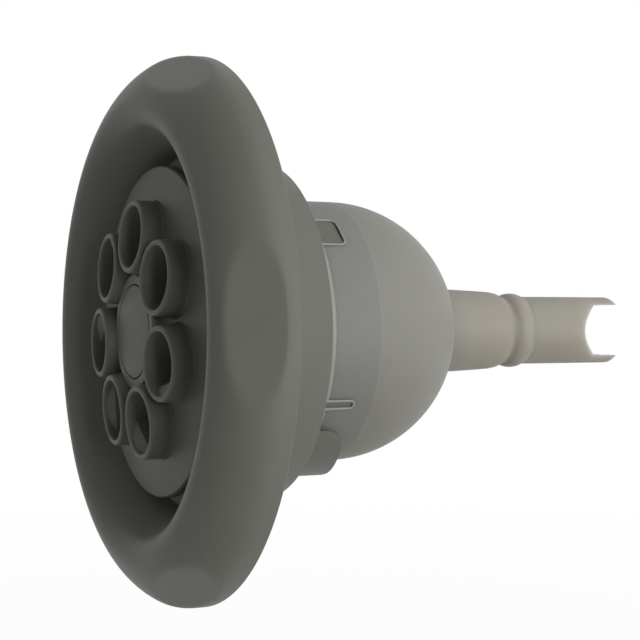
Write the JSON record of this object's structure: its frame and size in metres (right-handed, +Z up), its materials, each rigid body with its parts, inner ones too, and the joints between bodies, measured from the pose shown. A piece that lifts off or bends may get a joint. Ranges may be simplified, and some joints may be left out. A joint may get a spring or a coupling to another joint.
{
  "type": "hot tub jet",
  "caption": "Hot tub jet insert: a round face with finger flats, a rotor of splayed ports that spins on a ball bearing, and a translucent domed diffuser with a forked stem.",
  "frame": {"origin": "on the jet's axis, within the outer wall of the diffuser's collar that the wall fitting closes round", "axes": "+Y along the jet's axis from the face to the stem's fork; +Z up as pictured; +X out of the side that the fork's slot opens on towards the picture"},
  "size_m": [0.127, 0.1357, 0.127],
  "materials": {
    "grey_moulding": "satin moulded grey",
    "natural_moulding": "translucent natural",
    "white_moulding": "satin moulded",
    "cage_moulding": "satin moulded",
    "stainless": "ground"
  },
  "bodies": {
    "housing": {"escutcheon": "grey_moulding", "diffuser": "natural_moulding", "bearing_carrier": "white_moulding", "carrier_screw": "stainless", "screw_washer": "stainless", "bearing_inner_race": "stainless"},
    "spinning_rotor": {"rotor": "grey_moulding", "rotor_cap": "grey_moulding", "bearing_outer_race": "stainless", "bearing_retaining_ring": "stainless"},
    "ball_train": {"bearing_cage": "cage_moulding", "bearing_ball_1": "stainless", "bearing_ball_2": "stainless", "bearing_ball_3": "stainless", "bearing_ball_4": "stainless", "bearing_ball_5": "stainless", "bearing_ball_6": "stainless", "bearing_ball_7": "stainless", "bearing_ball_8": "stainless", "bearing_ball_9": "stainless"}
  },
  "joints": [
    {"name": "rotor_spin", "type": "hinge", "parent": "housing", "child": "spinning_rotor", "pos_m": [0, -0.0339, 0], "axis": [0, 1, 0], "continuous": true},
    {"name": "cage_orbit", "type": "hinge", "parent": "housing", "child": "ball_train", "pos_m": [0, -0.0339, 0], "axis": [0, 1, 0], "continuous": true}
  ],
  "couplings": [
    {"joint": "cage_orbit", "follows": "rotor_spin", "ratio": 0.5992}
  ]
}
